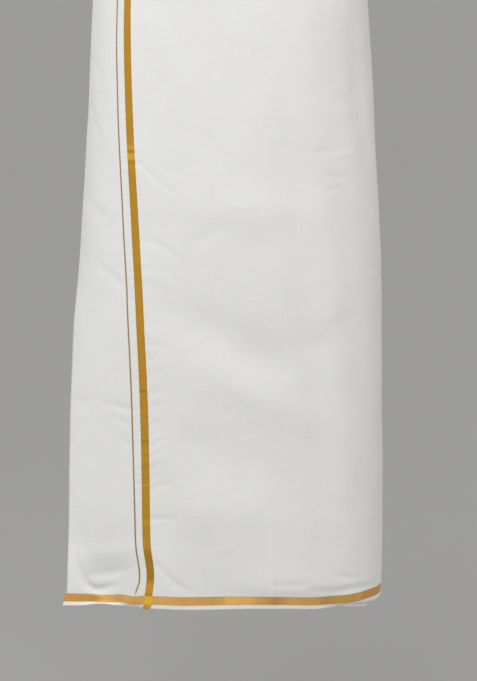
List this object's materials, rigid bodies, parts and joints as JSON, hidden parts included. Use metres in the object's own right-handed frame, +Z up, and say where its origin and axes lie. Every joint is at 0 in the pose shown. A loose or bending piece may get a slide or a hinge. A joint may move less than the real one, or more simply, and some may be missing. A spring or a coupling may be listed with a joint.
{
  "type": "dhoti",
  "caption": "Ankle-length wrapped cotton dhoti holding its worn tube shape, with a rolled waist, a free end at the front left and gold woven bands.",
  "frame": {"origin": "middle of the waist, at the height where the wearer holds the cloth up, which is the cloth's top edge under the roll", "axes": "+Z up along the wearer, -Y the front, +X towards the wearer's left, which is the viewer's right"},
  "size_m": [0.426, 0.2562, 0.9952],
  "materials": {
    "white_cotton": "plain woven cotton, matt with a faint starch sheen"
  },
  "bodies": {
    "root": {"free_end": "white_cotton", "front_panel": "white_cotton", "right_side": "white_cotton", "back_panel": "white_cotton", "left_side": "white_cotton", "under_front": "white_cotton", "under_right": "white_cotton", "inner_end": "white_cotton", "waist_roll": "white_cotton"}
  },
  "joints": []
}
